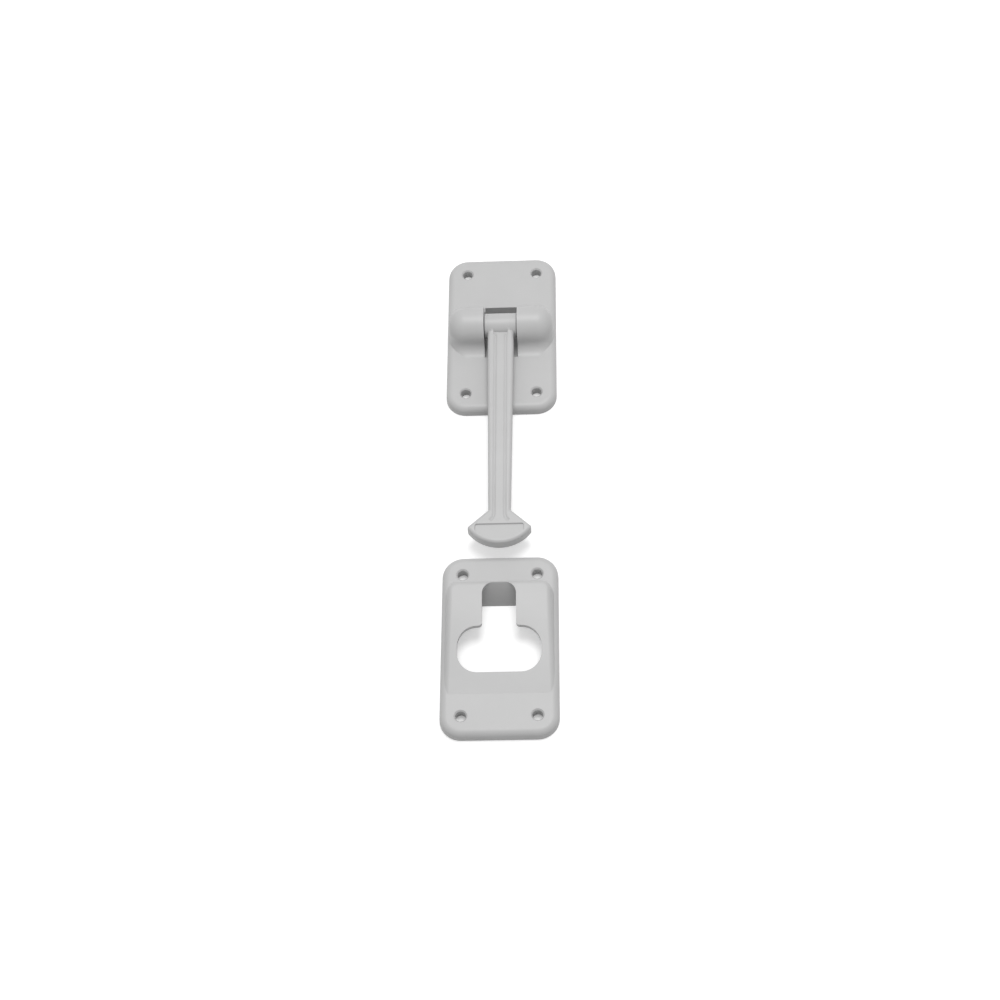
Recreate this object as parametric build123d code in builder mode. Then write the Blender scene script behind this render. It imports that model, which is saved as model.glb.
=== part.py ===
from build123d import *
import os
from math import asin, atan2, degrees, radians, tan

# T-style door holder: a hinge bracket with its swinging arm, and the catch plate.
# Both plates lie on their backs, with their mounting faces at Z = 0.
# The origin is the middle of the bracket's mounting face. The arm swings in the YZ plane.
# All sizes are in millimetres and all angles in degrees.

# The outline that the bracket and the catch plate share
plate_width = 50.8
plate_length = 85.7
plate_thickness = 4.8
plate_corner = 9.4
rim_radius = 3.0
side_draft = 3.0
wall = 2.0

# Screw holes, one in each corner region of a plate
hole_spacing_x = 32.5
hole_spacing_y = 67.2
screw_hole = 4.6
lead_in_depth = 0.6
lead_in_angle = 45.0
boss_diameter = 9.2

# The ridge across the bracket, which covers the hinge pin
pin_height = 10.1
ridge_radius = 8.95
ridge_length = 48.4
ridge_end_radius = 7.6
cove_radius = 5.2
window_width = 15.4
window_length = 28.1
cheek_thickness = 3.0

# The hinge pin and its fits
pin_diameter = 4.0
pin_overhang = 4.0
pin_clearance = 0.05
pin_chamfer = 0.4
snap_throat = 3.5
throat_flare = 1.0

# The arm
knuckle_radius = 5.7
knuckle_clearance = 0.2
knuckle_edge = 0.4
arm_thickness = 6.35
shank_root_width = 12.2
shank_tip_width = 9.9
arm_edge = 1.4
knuckle_blend = 3.0
arm_reach = 116.85
shoulder_to_toe = 16.6
head_width = 27.8
head_tip_to_toe = 8.4
head_tip_flat = 1.1

# Grooves and recess on both faces of the arm
rib_width = 3.0
rib_start = 6.8
rib_end_depth = 0.9
groove_width = 1.8
groove_depth = 0.45
groove_draft = 60.0
groove_bend_to_toe = 14.6
groove_bend_radius = 4.5
groove_bend_angle = 55.0
ridge_margin = 0.3
recess_top_to_toe = 9.5
recess_rim = 1.7
recess_width = 21.6
recess_depth = 0.8
recess_corner = 1.0
recess_draft = 18.0

# The catch plate, its hood and the keyhole opening through it
plate_gap = 76.0
hood_height = 12.2
hood_width = 46.8
hood_foot_inset = 19.25
hood_end_inset = 14.8
hood_crown_radius = 110.0
hood_side_draft = 10.0
hood_corner = 6.0
hood_edge = 2.4
mouth_width = 36.0
mouth_length = 20.2
mouth_corner = 8.6
mouth_offset = 4.1
slot_width = 14.7
slot_corner = 5.4
slot_mouth_blend = 1.5
ramp_run = 5.7

# Places worked out from the sizes above
catch_y = -(plate_length + plate_gap)
above_ridge = pin_height + 2 * ridge_radius
knuckle_width = window_width - 2 * knuckle_clearance
pin_length = window_width + 2 * (cheek_thickness + pin_overhang)
shoulder_y = -(arm_reach - shoulder_to_toe)
tip_y = -(arm_reach - head_tip_to_toe)
toe_y = -arm_reach
arm_top = pin_height + arm_thickness / 2
pocket_depth = plate_thickness - wall
hood_foot_y = hood_foot_inset - plate_length / 2
hood_end_y = plate_length / 2 - hood_end_inset
slot_end_y = hood_end_y - wall
mouth_top_y = mouth_length / 2 - mouth_offset


def screw_places():
    return GridLocations(hole_spacing_x, hole_spacing_y, 2, 2)


# The blank that both plates start from: a drafted slab with a rounded rim
with BuildPart() as plate_blank:
    with BuildSketch(Plane.XY):
        RectangleRounded(plate_width, plate_length, plate_corner)
    extrude(amount=plate_thickness, taper=side_draft)
    fillet(faces().sort_by(Axis.Z)[-1].edges(), radius=rim_radius)

# The shallow pocket in the back of both plates, which leaves a boss round each screw hole
with BuildPart() as back_pocket:
    with BuildSketch(Plane.XY):
        RectangleRounded(plate_width - 2 * wall, plate_length - 2 * wall, plate_corner - wall)
        with screw_places():
            Circle(boss_diameter / 2, mode=Mode.SUBTRACT)
    extrude(amount=pocket_depth)

# The screw holes of both plates, each with a small lead-in at the front
with BuildPart() as screw_holes:
    with BuildSketch(Plane.XY):
        with screw_places():
            Circle(screw_hole / 2)
    extrude(amount=plate_thickness)
    with BuildSketch(Plane.XY.offset(plate_thickness - lead_in_depth)):
        with screw_places():
            Circle(screw_hole / 2)
    extrude(amount=2 * lead_in_depth, taper=-lead_in_angle)


def ridge_section(inset):
    # Half round over the pin, with a cove on each side, set in by the wall
    radius = ridge_radius - inset
    foot = plate_thickness - inset
    with Locations((0, pin_height)):
        Circle(radius)
    with Locations((0, pin_height / 2 - ridge_end_radius / 2)):
        Rectangle(2 * radius, pin_height + ridge_end_radius)
    with Locations((0, foot / 2 - ridge_end_radius / 2)):
        Rectangle(2 * (ridge_radius + 2 * cove_radius), foot + ridge_end_radius)
    corners = vertices().group_by(Axis.Y)[1].sort_by(Axis.X)[1:3]
    fillet(corners, cove_radius + inset)


# The solid form of the ridge, with its rounded ends
with BuildPart() as ridge_form:
    with BuildSketch(Plane.YZ):
        ridge_section(0)
    extrude(amount=ridge_length / 2, both=True)
    for end in (0, -1):
        rounded = faces().filter_by(Plane.YZ).sort_by(Axis.X)[end].edges()
        fillet(rounded.filter_by_position(Axis.Z, plate_thickness, above_ridge), radius=ridge_end_radius)
    split(bisect_by=Plane.XY, keep=Keep.TOP)

# The hollow under the ridge
with BuildPart() as ridge_core:
    with BuildSketch(Plane.YZ):
        with Locations((0, pin_height)):
            Circle(ridge_radius - wall)
        with Locations((0, pin_height / 2)):
            Rectangle(2 * (ridge_radius - wall), pin_height)
    extrude(amount=ridge_length / 2 - wall, both=True)
    for end in (0, -1):
        rounded = faces().filter_by(Plane.YZ).sort_by(Axis.X)[end].edges()
        fillet(rounded.filter_by_position(Axis.Z, wall, above_ridge), radius=ridge_end_radius - wall)

with BuildPart() as hinge_bracket:
    add(plate_blank.part)
    add(ridge_form.part)
    add(back_pocket.part, mode=Mode.SUBTRACT)
    add(ridge_core.part, mode=Mode.SUBTRACT)
    # Two cheeks close the ridge beside the window and carry the pin
    with BuildSketch(Plane.YZ.offset(window_width / 2)):
        ridge_section(wall / 2)
    extrude(amount=cheek_thickness)
    with BuildSketch(Plane.YZ.offset(-window_width / 2)):
        ridge_section(wall / 2)
    extrude(amount=-cheek_thickness)
    split(bisect_by=Plane.XY, keep=Keep.TOP)
    # A wall at each end of the window reaches down to the mounting face
    with BuildSketch(Plane.XY):
        Rectangle(window_width + 2 * cheek_thickness, window_length + 2 * wall)
    extrude(amount=plate_thickness)
    # The window goes right through
    with BuildSketch(Plane.XY):
        Rectangle(window_width, window_length)
    extrude(amount=above_ridge, mode=Mode.SUBTRACT)
    # Bearings for the pin, each open to the back through a narrower snap-in throat
    with BuildSketch(Plane.YZ):
        with Locations((0, pin_height)):
            Circle(pin_diameter / 2 + pin_clearance)
        with Locations((0, pin_height / 2)):
            Rectangle(snap_throat, pin_height)
        with Locations((0, 0)):
            Rectangle(snap_throat + 2 * throat_flare, 2 * throat_flare)
    extrude(amount=window_width / 2 + cheek_thickness, both=True, mode=Mode.SUBTRACT)
    add(screw_holes.part, mode=Mode.SUBTRACT)
hinge_bracket.part.label = "hinge_bracket"

with BuildPart() as hinge_pin:
    with BuildSketch(Plane.YZ):
        with Locations((0, pin_height)):
            Circle(pin_diameter / 2)
    extrude(amount=pin_length / 2, both=True)
    chamfer(edges().filter_by(GeomType.CIRCLE), length=pin_chamfer)
hinge_pin.part.label = "hinge_pin"

# The toe is one arc through both tips, and its radius follows from the head's sizes
toe_sagitta = head_tip_to_toe - head_tip_flat
toe_radius = ((head_width / 2) ** 2 + toe_sagitta**2) / (2 * toe_sagitta)

groove_x = (rib_width + groove_width) / 2
relief_width = rib_width + 2 * groove_width

# The two grooves and the recess, as cut into one face of the arm
with BuildPart() as arm_relief:
    with BuildSketch(Plane.XY.offset(arm_top)):
        with BuildLine():
            straight = Line((groove_x, -rib_start), (groove_x, toe_y + groove_bend_to_toe))
            JernArc(straight @ 1, straight % 1, groove_bend_radius, groove_bend_angle)
        trace(line_width=groove_width)
        mirror(about=Plane.YZ)
    extrude(amount=-groove_depth, taper=groove_draft)
    # The rib ends square in front of the knuckle
    with BuildSketch(Plane.XY.offset(arm_top)):
        with Locations((0, -rib_start)):
            Rectangle(relief_width, rib_start, align=(Align.CENTER, Align.MIN))
    extrude(amount=-rib_end_depth, taper=recess_draft)
    # Straight along the shank side, parallel to the toe on the other
    with BuildSketch(Plane.XY.offset(arm_top)):
        with Locations((0, toe_y + toe_radius)):
            Circle(toe_radius - recess_rim)
        with Locations((0, toe_y)):
            Rectangle(
                recess_width,
                recess_top_to_toe,
                align=(Align.CENTER, Align.MIN),
                mode=Mode.INTERSECT,
            )
        fillet(vertices(), radius=recess_corner)
    extrude(amount=-recess_depth, taper=recess_draft)

with BuildPart() as knuckle:
    with BuildSketch(Plane.YZ):
        with Locations((0, pin_height)):
            Circle(knuckle_radius)
    extrude(amount=knuckle_width / 2, both=True)
    chamfer(edges().filter_by(GeomType.CIRCLE), length=knuckle_edge)

with BuildPart() as arm:
    # The flat outline from the pin to the toe, with rounded edges
    with BuildSketch(Plane.XY.offset(pin_height)):
        with BuildLine():
            tip_low_y = tip_y - head_tip_flat
            toe = ThreePointArc((-head_width / 2, tip_low_y), (0, toe_y), (head_width / 2, tip_low_y))
            side = Polyline(
                toe @ 1,
                (head_width / 2, tip_y),
                (shank_tip_width / 2, shoulder_y),
                (shank_root_width / 2, 0),
                (0, 0),
            )
            mirror(side, about=Plane.YZ)
        make_face()
    extrude(amount=arm_thickness / 2, both=True)
    flat_faces = faces().filter_by(Plane.XY)
    fillet(flat_faces.edges(), radius=arm_edge)
    # The side ridges sweep up on to the knuckle, and the rib between them stops square
    with BuildSketch(Plane.YZ):
        with Locations((0, pin_height)):
            Circle(knuckle_radius)
            Rectangle(4 * knuckle_radius, arm_thickness, align=(Align.MAX, Align.CENTER))
        fillet(vertices().sort_by(Axis.X)[2:4], radius=knuckle_blend)
    extrude(amount=shank_root_width / 2 - arm_edge - ridge_margin, both=True)
    with BuildSketch(Plane.YZ):
        with Locations((0, pin_height)):
            Rectangle(2 * knuckle_radius, 2 * knuckle_radius, align=(Align.MAX, Align.CENTER))
            Rectangle(4 * knuckle_radius, arm_thickness, mode=Mode.SUBTRACT)
    extrude(amount=relief_width / 2, both=True, mode=Mode.SUBTRACT)
    add(arm_relief.part, mode=Mode.SUBTRACT)
    add(arm_relief.part.mirror(Plane.XY.offset(pin_height)), mode=Mode.SUBTRACT)
    add(knuckle.part)
    # The bore grips the pin
    with BuildSketch(Plane.YZ):
        with Locations((0, pin_height)):
            Circle(pin_diameter / 2)
    extrude(amount=knuckle_width, both=True, mode=Mode.SUBTRACT)
arm.part.label = "arm"


def hood_side(inset):
    # Side view of the hood: a crowned top, level at the high end, that runs down in a
    # straight slope tangent to the crown. The inset gives the hollow under it.
    radius = hood_crown_radius - inset
    foot = Vector(hood_foot_y, plate_thickness - inset)
    crown_center = Vector(hood_end_y, hood_height - hood_crown_radius)
    to_center = crown_center - foot
    to_center_angle = degrees(atan2(to_center.Y, to_center.X))
    slope_angle = to_center_angle + degrees(asin(radius / to_center.length))
    slope_length = (to_center.length**2 - radius**2) ** 0.5
    with BuildSketch(Plane.YZ) as view:
        with BuildLine():
            slope = PolarLine(foot, slope_length, slope_angle)
            crown = JernArc(slope @ 1, slope % 1, radius, -slope_angle)
            Polyline(crown @ 1, (plate_length, (crown @ 1).Y), (plate_length, -wall), (foot.X, -wall), foot)
        make_face()
    return view.sketch


def hood_plan(inset):
    # Plan of the hood at the mounting face, from which its walls lean in to hood_width at the flange.
    # It runs on past the foot, where the side view ends it.
    spread = plate_thickness * tan(radians(hood_side_draft))
    with BuildSketch(Plane.XY) as view:
        with Locations((0, hood_end_y + spread - inset)):
            RectangleRounded(
                hood_width + 2 * (spread - inset),
                plate_length,
                hood_corner - inset,
                align=(Align.CENTER, Align.MAX),
            )
    return view.sketch


# The wedge at the end of the slot, whose face slopes from the hood's top down to the mounting face
with BuildPart() as ramp:
    with BuildSketch(Plane.YZ):
        with BuildLine():
            Polyline(
                (slot_end_y - ramp_run, 0),
                (slot_end_y, hood_height),
                (hood_end_y, hood_height),
                (hood_end_y, 0),
                close=True,
            )
        make_face()
    extrude(amount=slot_width / 2 + wall, both=True)

# The solid form of the hood
with BuildPart() as hood_form:
    extrude(hood_plan(0), amount=hood_height, taper=hood_side_draft)
    extrude(hood_side(0), amount=plate_width, both=True, mode=Mode.INTERSECT)
    upper_faces = faces().filter_by(lambda face: face.normal_at().Z > tan(radians(hood_side_draft)))
    across = upper_faces.edges().filter_by(Axis.X).sort_by(Axis.Y)
    around = upper_faces.edges().filter_by(lambda edge: edge not in across)
    fillet(around + across[-1:], radius=hood_edge)

# The hollow in the back of the catch plate, which stops at the ramp
with BuildPart() as catch_hollow:
    extrude(hood_plan(wall), amount=hood_height, taper=hood_side_draft)
    extrude(hood_side(wall), amount=plate_width, both=True, mode=Mode.INTERSECT)
    add(back_pocket.part)
    add(ramp.part, mode=Mode.SUBTRACT)

# The keyhole: a wide mouth that the arm's head passes, and a slot that holds the shank
with BuildPart() as keyhole:
    with BuildSketch(Plane.XY):
        with Locations((0, -mouth_offset)):
            RectangleRounded(mouth_width, mouth_length, mouth_corner)
        with Locations((0, slot_end_y)):
            Rectangle(slot_width, slot_end_y + mouth_offset, align=(Align.CENTER, Align.MAX))
        fillet(vertices().group_by(Axis.Y)[-1], radius=slot_corner)
        fillet(vertices().sort_by_distance((0, mouth_top_y))[:2], radius=slot_mouth_blend)
    extrude(amount=2 * hood_height)
    add(ramp.part, mode=Mode.SUBTRACT)

with BuildPart() as catch_plate:
    add(plate_blank.part)
    add(hood_form.part)
    add(catch_hollow.part, mode=Mode.SUBTRACT)
    add(keyhole.part, mode=Mode.SUBTRACT)
    add(screw_holes.part, mode=Mode.SUBTRACT)

# The catch plate lies below the arm's toe, in line with the bracket
placed_catch = catch_plate.part.moved(Location((0, catch_y, 0)))
placed_catch.label = "catch_plate"

os.makedirs("parts", exist_ok=True)
export_step(hinge_bracket.part, "parts/hinge_bracket.step")
export_step(arm.part, "parts/arm.step")
export_step(hinge_pin.part, "parts/hinge_pin.step")
export_step(placed_catch, "parts/catch_plate.step")
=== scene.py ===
"""The finish, the light and the view of the T-style door holder.

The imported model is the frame: every piece keeps its place and its size, and this file gives it the
surface that the real one has. All lengths are in metres.
"""

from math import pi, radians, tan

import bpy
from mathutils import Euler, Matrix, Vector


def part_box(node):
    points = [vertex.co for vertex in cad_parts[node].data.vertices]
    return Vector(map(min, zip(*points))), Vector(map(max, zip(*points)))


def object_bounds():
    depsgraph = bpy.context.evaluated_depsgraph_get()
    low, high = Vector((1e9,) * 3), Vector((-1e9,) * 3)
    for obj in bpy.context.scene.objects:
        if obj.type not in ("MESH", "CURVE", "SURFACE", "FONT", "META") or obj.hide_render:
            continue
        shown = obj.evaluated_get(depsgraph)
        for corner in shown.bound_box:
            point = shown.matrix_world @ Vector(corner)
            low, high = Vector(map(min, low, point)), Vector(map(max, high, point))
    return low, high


bl_info = {
    "name": "T-Style Door Holder",
    "version": (1, 0, 0),
    "blender": (4, 5, 0),
    "location": "3D Viewport > Sidebar > Door Holder",
    "description": "Finishes the pieces of a door holder and sets a pale studio round it",
    "category": "Object",
}

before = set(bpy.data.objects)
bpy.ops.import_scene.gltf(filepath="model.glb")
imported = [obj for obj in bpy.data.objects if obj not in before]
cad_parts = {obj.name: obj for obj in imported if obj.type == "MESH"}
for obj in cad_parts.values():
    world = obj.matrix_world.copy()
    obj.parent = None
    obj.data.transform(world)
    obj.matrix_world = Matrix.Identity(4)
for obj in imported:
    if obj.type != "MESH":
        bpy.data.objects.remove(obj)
CAD_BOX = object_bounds()

MILLIMETRE = 0.001
WHITE = (1.0, 1.0, 1.0, 1.0)

# The moulded skin: how closely its tone and its flow waves change, and how strong each effect is
DRIFTS_PER_METRE = 45.0
DRIFT_GAIN = 4.0
WAVES_PER_METRE = 160.0
WAVE_SHARE = 1.5
ROUGHNESS_SWING = 0.25
NOISE_MIDDLE = 0.5
PLASTIC_IOR = 1.49

# The drawing lines go round the pin, which lies along X
LINE_STRETCH = (1.0, 0.02, 0.02)
LINE_DEPTH = 0.004 * MILLIMETRE

# The floor lies just under the mounting faces and reaches far past the picture
FLOOR_HALF_WIDTH = 20.0
FLOOR_GAP = 0.02 * MILLIMETRE

# Painted shade on the floor below a plate: how far inside its outline it starts, and where its screw
# holes have ended
PLATE_RIM = 5 * MILLIMETRE
PAST_HOLES = 14 * MILLIMETRE
# Half the floor's glow is held back where a screw hole shows the floor, and all of it in the
# bracket's window: painted shade
PAINTED_HOLE_SHADE = 0.5

# A Mix node has sockets for each kind of value, and these are the ones for colours
MIX_FIRST_COLOUR, MIX_SECOND_COLOUR, MIX_COLOUR_RESULT = 6, 7, 2


class PlasticFinish(bpy.types.PropertyGroup):
    """The moulded plastic of the plates and the arm."""

    colour: bpy.props.FloatVectorProperty(
        name="Colour",
        description="Colour of the moulded plastic",
        subtype="COLOR",
        size=3,
        min=0.0,
        max=1.0,
        default=(0.565, 0.565, 0.565),
    )
    tone_change: bpy.props.FloatProperty(
        name="Tone Change",
        description="How far the colour drifts over the surface",
        subtype="FACTOR",
        min=0.0,
        max=0.2,
        default=0.03,
    )
    roughness: bpy.props.FloatProperty(
        name="Roughness",
        description="Roughness of the smooth skin between the grains",
        subtype="FACTOR",
        min=0.0,
        max=1.0,
        default=0.42,
    )
    grain_size: bpy.props.FloatProperty(
        name="Grain Size",
        description="Width of one grain of the mould's satin texture",
        unit="LENGTH",
        min=0.00005,
        max=0.005,
        default=0.4 * MILLIMETRE,
    )
    grain_depth: bpy.props.FloatProperty(
        name="Grain Depth",
        description="Depth of the mould's satin texture",
        unit="LENGTH",
        min=0.0,
        max=0.001,
        default=0.025 * MILLIMETRE,
    )


class SteelFinish(bpy.types.PropertyGroup):
    """The drawn steel of the hinge pin."""

    colour: bpy.props.FloatVectorProperty(
        name="Colour",
        description="Colour of the bare steel",
        subtype="COLOR",
        size=3,
        min=0.0,
        max=1.0,
        default=(0.56, 0.56, 0.57),
    )
    roughness: bpy.props.FloatProperty(
        name="Roughness",
        description="Roughness of the drawn steel",
        subtype="FACTOR",
        min=0.0,
        max=1.0,
        default=0.32,
    )
    line_width: bpy.props.FloatProperty(
        name="Line Width",
        description="Width of one drawing line round the pin",
        unit="LENGTH",
        min=0.00001,
        max=0.001,
        default=0.08 * MILLIMETRE,
    )


class StageSettings(bpy.types.PropertyGroup):
    """The floor, the light and the camera."""

    floor_tone: bpy.props.FloatProperty(
        name="Floor Tone",
        description="How pale the floor is",
        subtype="FACTOR",
        min=0.0,
        max=1.0,
        default=0.88,
    )
    bounce_tone: bpy.props.FloatProperty(
        name="Bounce Tone",
        description="How much light the floor sends back on to the object",
        subtype="FACTOR",
        min=0.0,
        max=1.0,
        default=0.42,
    )
    floor_lift: bpy.props.FloatProperty(
        name="Floor Lift",
        description="Brightness added to the floor in the picture alone",
        min=0.0,
        max=1.0,
        default=0.4,
    )
    fade_start: bpy.props.FloatProperty(
        name="Fade Start",
        description="Distance from the bracket at which the floor starts to fade to white",
        unit="LENGTH",
        min=0.3,
        max=5.0,
        default=0.4,
    )
    fade_end: bpy.props.FloatProperty(
        name="Fade End",
        description="Distance from the bracket at which the floor is white",
        unit="LENGTH",
        min=0.3,
        max=10.0,
        default=1.2,
    )
    fill_strength: bpy.props.FloatProperty(
        name="Fill Strength",
        description="Even light from all round",
        min=0.0,
        max=4.0,
        default=0.53,
    )
    key_power: bpy.props.FloatProperty(
        name="Key Power",
        description="Power of the large soft lamp overhead",
        unit="POWER",
        min=0.0,
        max=200.0,
        default=4.4,
    )
    key_width: bpy.props.FloatProperty(
        name="Key Width",
        description="Width of the soft lamp overhead",
        unit="LENGTH",
        min=0.05,
        max=3.0,
        default=0.5,
    )
    key_distance: bpy.props.FloatProperty(
        name="Key Distance",
        description="Distance of the soft lamp from the object",
        unit="LENGTH",
        min=0.2,
        max=5.0,
        default=1.0,
    )
    key_back: bpy.props.FloatProperty(
        name="Key Back",
        description="How far the soft lamp leans away from the camera",
        subtype="ANGLE",
        min=-pi / 2,
        max=pi / 2,
        default=radians(12.0),
    )
    key_side: bpy.props.FloatProperty(
        name="Key Side",
        description="How far the soft lamp leans to the right",
        subtype="ANGLE",
        min=-pi / 2,
        max=pi / 2,
        default=radians(4.0),
    )
    camera_aim: bpy.props.FloatVectorProperty(
        name="Camera Aim",
        description="Point on the floor that the middle of the picture shows",
        subtype="TRANSLATION",
        size=3,
        default=(-0.48 * MILLIMETRE, -87.93 * MILLIMETRE, 0.0),
    )
    camera_distance: bpy.props.FloatProperty(
        name="Camera Distance",
        description="Distance from the camera to the point it aims at",
        unit="LENGTH",
        min=0.1,
        max=10.0,
        default=927.1 * MILLIMETRE,
    )
    camera_turn: bpy.props.FloatVectorProperty(
        name="Camera Turn",
        description="Tilt, sideways lean and turn of the camera",
        subtype="EULER",
        size=3,
        default=(radians(30.295), radians(3.188), radians(0.327)),
    )
    camera_lens: bpy.props.FloatProperty(
        name="Camera Lens",
        description="Focal length of the camera",
        unit="CAMERA",
        min=10.0,
        max=300.0,
        default=74.57,
    )


def new_group(name, inputs, outputs):
    """Makes a shader node group with the named sockets, and returns it with its two end nodes."""
    group = bpy.data.node_groups.new(name, "ShaderNodeTree")
    for label, kind, default in inputs:
        socket = group.interface.new_socket(name=label, in_out="INPUT", socket_type=kind)
        socket.default_value = default
    for label, kind in outputs:
        group.interface.new_socket(name=label, in_out="OUTPUT", socket_type=kind)
    return group, group.nodes.new("NodeGroupInput"), group.nodes.new("NodeGroupOutput")


def feed(tree, value, socket):
    """Links an output to a socket, or sets the socket to a plain number."""
    if isinstance(value, bpy.types.NodeSocket):
        tree.links.new(value, socket)
    else:
        socket.default_value = value


def object_place(tree):
    """The position of a point in the axes of its own object."""
    return tree.nodes.new("ShaderNodeTexCoord").outputs["Object"]


def math_node(tree, operation, first, second=0.0):
    """Adds a maths node, where each input is a socket or a number, and returns its result."""
    node = tree.nodes.new("ShaderNodeMath")
    node.operation = operation
    feed(tree, first, node.inputs[0])
    feed(tree, second, node.inputs[1])
    return node.outputs[0]


def vector_node(tree, operation, vector):
    """Adds a vector maths node with the given vector as its first input, and returns the node."""
    node = tree.nodes.new("ShaderNodeVectorMath")
    node.operation = operation
    tree.links.new(vector, node.inputs[0])
    return node


def noise_node(tree, vector, scale, detail, roughness=0.5):
    """Adds a noise texture over the given coordinates and returns its grey value."""
    node = tree.nodes.new("ShaderNodeTexNoise")
    node.inputs["Detail"].default_value = detail
    node.inputs["Roughness"].default_value = roughness
    tree.links.new(vector, node.inputs["Vector"])
    feed(tree, scale, node.inputs["Scale"])
    return node.outputs["Fac"]


def moulded_skin_group():
    """The skin of a moulding: fine satin grain, a slow drift of tone and faint flow waves."""
    name = "moulded_skin"
    if name in bpy.data.node_groups:
        return bpy.data.node_groups[name]
    group, start, end = new_group(
        name,
        [
            ("Colour", "NodeSocketColor", (0.5, 0.5, 0.5, 1.0)),
            ("Tone Change", "NodeSocketFloat", 0.02),
            ("Roughness", "NodeSocketFloat", 0.4),
            ("Grain Size", "NodeSocketFloat", 0.4 * MILLIMETRE),
        ],
        [
            ("Colour", "NodeSocketColor"),
            ("Roughness", "NodeSocketFloat"),
            ("Height", "NodeSocketFloat"),
        ],
    )
    place = object_place(group)
    grains_per_metre = math_node(group, "DIVIDE", 1.0, start.outputs["Grain Size"])
    grain = noise_node(group, place, grains_per_metre, detail=2.0, roughness=0.6)
    drift = noise_node(group, place, DRIFTS_PER_METRE, detail=3.0)
    waves = noise_node(group, place, WAVES_PER_METRE, detail=1.0)

    swing = math_node(group, "SUBTRACT", drift, NOISE_MIDDLE)
    change = math_node(group, "MULTIPLY", swing, start.outputs["Tone Change"])
    tone = math_node(group, "ADD", math_node(group, "MULTIPLY", change, DRIFT_GAIN), 1.0)
    scaled = vector_node(group, "SCALE", start.outputs["Colour"])
    group.links.new(tone, scaled.inputs["Scale"])
    group.links.new(scaled.outputs[0], end.inputs["Colour"])

    swing = math_node(group, "SUBTRACT", grain, NOISE_MIDDLE)
    rise = math_node(group, "MULTIPLY", swing, ROUGHNESS_SWING)
    roughness = math_node(group, "ADD", start.outputs["Roughness"], rise)
    group.links.new(roughness, end.inputs["Roughness"])

    wave_height = math_node(group, "MULTIPLY", waves, WAVE_SHARE)
    group.links.new(math_node(group, "ADD", grain, wave_height), end.inputs["Height"])
    return group


def surface(name, roughness, metallic=0.0):
    """Makes a material with a Principled shader and returns it with its node tree and shader."""
    material = bpy.data.materials.new(name)
    material.use_nodes = True
    shader = material.node_tree.nodes["Principled BSDF"]
    shader.inputs["Roughness"].default_value = roughness
    shader.inputs["Metallic"].default_value = metallic
    return material, material.node_tree, shader


def add_bump(tree, shader, height, depth):
    """Gives a shader's surface the relief of a height from zero to one, at the given depth."""
    bump = tree.nodes.new("ShaderNodeBump")
    bump.inputs["Distance"].default_value = depth
    tree.links.new(height, bump.inputs["Height"])
    tree.links.new(bump.outputs["Normal"], shader.inputs["Normal"])


def moulded_plastic(name, finish):
    """Light grey plastic with the skin of a satin mould."""
    material, tree, shader = surface(name, finish.roughness)
    skin = tree.nodes.new("ShaderNodeGroup")
    skin.node_tree = moulded_skin_group()
    skin.inputs["Colour"].default_value = (*finish.colour, 1.0)
    skin.inputs["Tone Change"].default_value = finish.tone_change
    skin.inputs["Roughness"].default_value = finish.roughness
    skin.inputs["Grain Size"].default_value = finish.grain_size
    tree.links.new(skin.outputs["Colour"], shader.inputs["Base Color"])
    tree.links.new(skin.outputs["Roughness"], shader.inputs["Roughness"])
    add_bump(tree, shader, skin.outputs["Height"], finish.grain_depth)
    shader.inputs["IOR"].default_value = PLASTIC_IOR
    return material


def drawn_steel(name, finish):
    """Bare steel rod with fine lines round it."""
    material, tree, shader = surface(name, finish.roughness, metallic=1.0)
    lines = tree.nodes.new("ShaderNodeMapping")
    lines.inputs["Scale"].default_value = LINE_STRETCH
    tree.links.new(object_place(tree), lines.inputs["Vector"])
    mark = noise_node(tree, lines.outputs["Vector"], 1.0 / finish.line_width, detail=2.0)
    add_bump(tree, shader, mark, LINE_DEPTH)
    shader.inputs["Base Color"].default_value = (*finish.colour, 1.0)
    return material


def dress(node, material):
    """Gives a piece of the frame its material in place of the plain one."""
    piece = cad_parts[node]
    piece.data.materials.clear()
    piece.data.materials.append(material)
    return piece


class DOORHOLDER_OT_finish_bracket(bpy.types.Operator):
    """Finish the hinge bracket as a light grey moulding"""

    bl_idname = "doorholder.finish_bracket"
    bl_label = "Finish Hinge Bracket"
    bl_options = {"REGISTER", "UNDO"}

    def execute(self, context):
        finish = context.scene.doorholder_plastic
        dress("hinge_bracket", moulded_plastic("bracket_plastic", finish))
        return {"FINISHED"}


class DOORHOLDER_OT_finish_catch_plate(bpy.types.Operator):
    """Finish the catch plate as a light grey moulding"""

    bl_idname = "doorholder.finish_catch_plate"
    bl_label = "Finish Catch Plate"
    bl_options = {"REGISTER", "UNDO"}

    def execute(self, context):
        finish = context.scene.doorholder_plastic
        dress("catch_plate", moulded_plastic("catch_plastic", finish))
        return {"FINISHED"}


class DOORHOLDER_OT_finish_arm(bpy.types.Operator):
    """Finish the swinging arm as a light grey moulding"""

    bl_idname = "doorholder.finish_arm"
    bl_label = "Finish Arm"
    bl_options = {"REGISTER", "UNDO"}

    def execute(self, context):
        finish = context.scene.doorholder_plastic
        dress("arm", moulded_plastic("arm_plastic", finish))
        return {"FINISHED"}


class DOORHOLDER_OT_finish_pin(bpy.types.Operator):
    """Finish the hinge pin as drawn steel"""

    bl_idname = "doorholder.finish_pin"
    bl_label = "Finish Hinge Pin"
    bl_options = {"REGISTER", "UNDO"}

    def execute(self, context):
        dress("hinge_pin", drawn_steel("pin_steel", context.scene.doorholder_steel))
        return {"FINISHED"}


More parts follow.
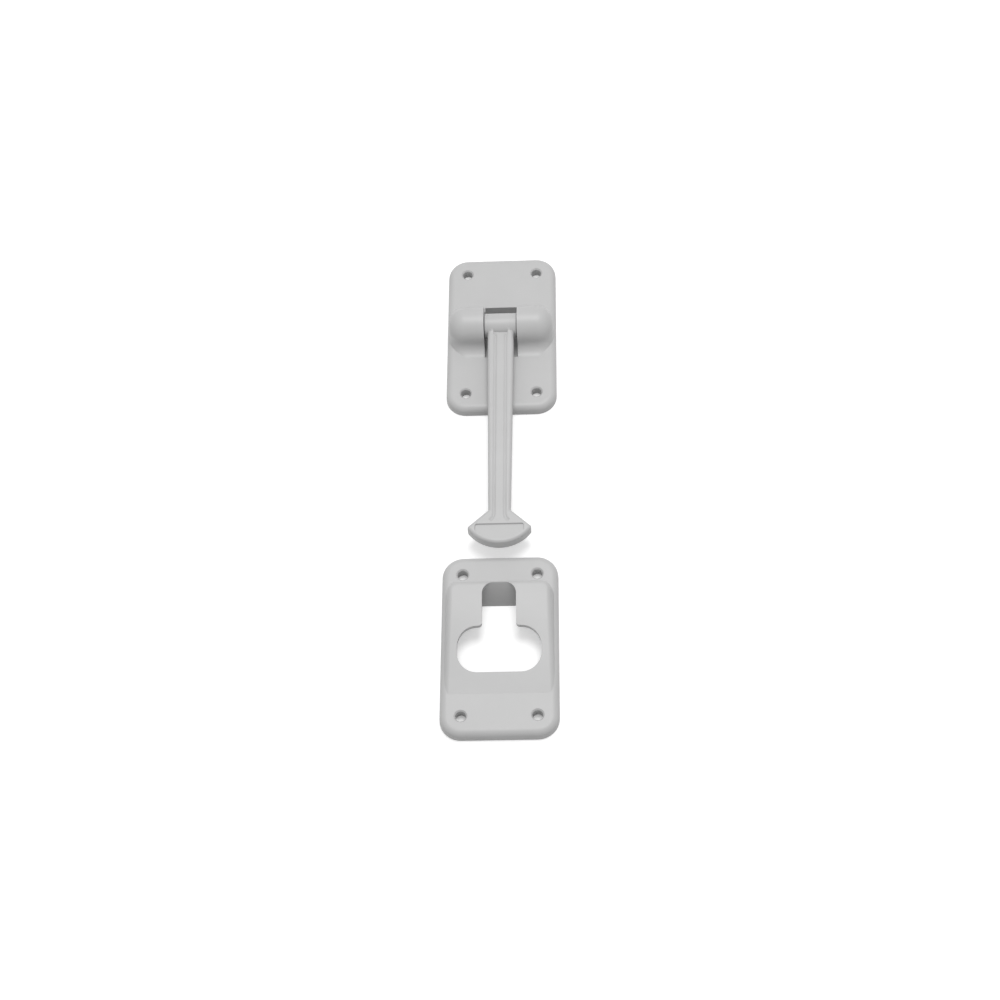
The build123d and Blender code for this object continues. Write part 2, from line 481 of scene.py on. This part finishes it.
def picture_ray(tree):
    """One where the camera, a reflection or a clear piece looks, and zero for the light itself."""
    path = tree.nodes.new("ShaderNodeLightPath")
    seen = math_node(tree, "MAXIMUM", path.outputs["Is Camera Ray"], path.outputs["Is Glossy Ray"])
    return math_node(tree, "MAXIMUM", seen, path.outputs["Is Transmission Ray"])


def beneath(tree, node, side_margin, end_margin):
    """One on the floor below a piece, short of the given margins, and zero elsewhere."""
    low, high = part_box(node)
    offset = vector_node(tree, "SUBTRACT", object_place(tree))
    offset.inputs[1].default_value = (low + high) / 2
    parts = tree.nodes.new("ShaderNodeSeparateXYZ")
    tree.links.new(offset.outputs[0], parts.inputs[0])
    inside = 1.0
    for axis, reach, margin in zip("XY", (high - low) / 2, (side_margin, end_margin)):
        distance = math_node(tree, "ABSOLUTE", parts.outputs[axis])
        within = math_node(tree, "LESS_THAN", distance, reach - margin)
        inside = math_node(tree, "MULTIPLY", within, inside)
    return inside


def lift_left_by_painted_shade(tree):
    """The share of the floor's lift that stays, with painted shade taking the rest: half in a screw
    hole, none in the window.
    """
    painted_shade = 0.0
    for node, operation in (("hinge_bracket", "ADD"), ("catch_plate", "SUBTRACT")):
        painted_shade = math_node(tree, "ADD", beneath(tree, node, PLATE_RIM, PLATE_RIM), painted_shade)
        painted_shade = math_node(tree, operation, painted_shade, beneath(tree, node, PLATE_RIM, PAST_HOLES))
    return math_node(tree, "SUBTRACT", 1.0, math_node(tree, "MULTIPLY", painted_shade, PAINTED_HOLE_SHADE))


def lift_by_distance(tree, stage):
    """The floor's lift, which turns it white past the reach of the shadow."""
    away = vector_node(tree, "LENGTH", object_place(tree))
    fade = tree.nodes.new("ShaderNodeMapRange")
    fade.inputs["From Min"].default_value = stage.fade_start
    fade.inputs["From Max"].default_value = stage.fade_end
    fade.inputs["To Min"].default_value = stage.floor_lift
    fade.inputs["To Max"].default_value = 1.0
    tree.links.new(away.outputs["Value"], fade.inputs["Value"])
    return fade.outputs["Result"]


def pale_floor(stage):
    """A floor that is pale in the picture, takes a shadow and sends back little light, with painted
    shade below the plates.
    """
    material, tree, shader = surface("pale_floor", 1.0)
    shader.inputs["Specular IOR Level"].default_value = 0.0
    seen = picture_ray(tree)
    tone = tree.nodes.new("ShaderNodeMix")
    tone.data_type = "RGBA"
    tree.links.new(seen, tone.inputs["Factor"])
    tone.inputs[MIX_FIRST_COLOUR].default_value = (*[stage.bounce_tone] * 3, 1.0)
    tone.inputs[MIX_SECOND_COLOUR].default_value = (*[stage.floor_tone] * 3, 1.0)
    tree.links.new(tone.outputs[MIX_COLOUR_RESULT], shader.inputs["Base Color"])
    # The floor's glow is held back below the plates, so the floor seen through the window and the
    # screw holes carries painted shade
    seen_share_past_painted_shade = math_node(tree, "MULTIPLY", seen, lift_left_by_painted_shade(tree))
    lift = math_node(tree, "MULTIPLY", seen_share_past_painted_shade, lift_by_distance(tree, stage))
    tree.links.new(lift, shader.inputs["Emission Strength"])
    shader.inputs["Emission Color"].default_value = WHITE
    return material


def add_floor(stage):
    """A wide flat floor at the mounting faces."""
    half = FLOOR_HALF_WIDTH
    mesh = bpy.data.meshes.new("floor")
    corners = [(-half, -half, 0), (half, -half, 0), (half, half, 0), (-half, half, 0)]
    mesh.from_pydata(corners, [], [(0, 1, 2, 3)])
    floor = bpy.data.objects.new("floor", mesh)
    floor.location.z = CAD_BOX[0].z - FLOOR_GAP
    mesh.materials.append(pale_floor(stage))
    bpy.context.scene.collection.objects.link(floor)


def add_world(stage):
    """Even light from all round, and a white backdrop in the picture."""
    world = bpy.data.worlds.new("studio")
    world.use_nodes = True
    tree = world.node_tree
    tree.nodes.clear()
    fill = tree.nodes.new("ShaderNodeBackground")
    fill.inputs["Strength"].default_value = stage.fill_strength
    backdrop = tree.nodes.new("ShaderNodeBackground")
    backdrop.inputs["Strength"].default_value = 1.0
    for background in (fill, backdrop):
        background.inputs["Color"].default_value = WHITE
    mix = tree.nodes.new("ShaderNodeMixShader")
    output = tree.nodes.new("ShaderNodeOutputWorld")
    tree.links.new(picture_ray(tree), mix.inputs["Fac"])
    tree.links.new(fill.outputs[0], mix.inputs[1])
    tree.links.new(backdrop.outputs[0], mix.inputs[2])
    tree.links.new(mix.outputs[0], output.inputs["Surface"])
    bpy.context.scene.world = world


def add_key_lamp(stage):
    """One large soft lamp overhead, leaning away from the camera and to the right."""
    low, high = CAD_BOX
    centre = (low + high) / 2
    lean = Vector((tan(stage.key_side), tan(stage.key_back), 1.0)).normalized()
    light = bpy.data.lights.new("key_lamp", "AREA")
    light.shape = "DISK"
    light.size = stage.key_width
    light.energy = stage.key_power
    lamp = bpy.data.objects.new("key_lamp", light)
    lamp.location = centre + lean * stage.key_distance
    lamp.rotation_euler = lean.to_track_quat("Z", "Y").to_euler()
    bpy.context.scene.collection.objects.link(lamp)


def add_camera(stage):
    """The camera, at the photograph's angle."""
    data = bpy.data.cameras.new("camera")
    data.lens = stage.camera_lens
    camera = bpy.data.objects.new("camera", data)
    camera.rotation_euler = Euler(stage.camera_turn, "XYZ")
    backwards = camera.rotation_euler.to_matrix() @ Vector((0.0, 0.0, 1.0))
    camera.location = Vector(stage.camera_aim) + backwards * stage.camera_distance
    bpy.context.scene.collection.objects.link(camera)
    bpy.context.scene.camera = camera


class DOORHOLDER_OT_set_stage(bpy.types.Operator):
    """Set the pale floor, the soft light and the camera"""

    bl_idname = "doorholder.set_stage"
    bl_label = "Set Stage"
    bl_options = {"REGISTER", "UNDO"}

    def execute(self, context):
        stage = context.scene.doorholder_stage
        add_floor(stage)
        add_world(stage)
        add_key_lamp(stage)
        add_camera(stage)
        context.scene.view_settings.view_transform = "Standard"
        return {"FINISHED"}


class DOORHOLDER_PT_panel(bpy.types.Panel):
    """The door holder's finishes and stage"""

    bl_idname = "DOORHOLDER_PT_panel"
    bl_label = "Door Holder"
    bl_space_type = "VIEW_3D"
    bl_region_type = "UI"
    bl_category = "Door Holder"

    def draw(self, context):
        layout = self.layout
        scene = context.scene
        for title, settings, operators in (
            ("Plastic", scene.doorholder_plastic, PLASTIC_OPERATORS),
            ("Steel", scene.doorholder_steel, STEEL_OPERATORS),
            ("Stage", scene.doorholder_stage, STAGE_OPERATORS),
        ):
            box = layout.box()
            box.label(text=title)
            for key in settings.__annotations__:
                box.prop(settings, key)
            for operator in operators:
                box.operator(operator.bl_idname)


PLASTIC_OPERATORS = (
    DOORHOLDER_OT_finish_bracket,
    DOORHOLDER_OT_finish_arm,
    DOORHOLDER_OT_finish_catch_plate,
)
STEEL_OPERATORS = (DOORHOLDER_OT_finish_pin,)
STAGE_OPERATORS = (DOORHOLDER_OT_set_stage,)
SETTINGS = {
    "doorholder_plastic": PlasticFinish,
    "doorholder_steel": SteelFinish,
    "doorholder_stage": StageSettings,
}
CLASSES = (
    *SETTINGS.values(),
    *PLASTIC_OPERATORS,
    *STEEL_OPERATORS,
    *STAGE_OPERATORS,
    DOORHOLDER_PT_panel,
)


def register():
    for cls in CLASSES:
        bpy.utils.register_class(cls)
    for key, settings in SETTINGS.items():
        setattr(bpy.types.Scene, key, bpy.props.PointerProperty(type=settings))


def unregister():
    for key in SETTINGS:
        delattr(bpy.types.Scene, key)
    for cls in reversed(CLASSES):
        bpy.utils.unregister_class(cls)


def main():
    register()
    bpy.ops.doorholder.finish_bracket()
    bpy.ops.doorholder.finish_catch_plate()
    bpy.ops.doorholder.finish_arm()
    bpy.ops.doorholder.finish_pin()
    bpy.ops.doorholder.set_stage()


if __name__ == "__main__":
    main()
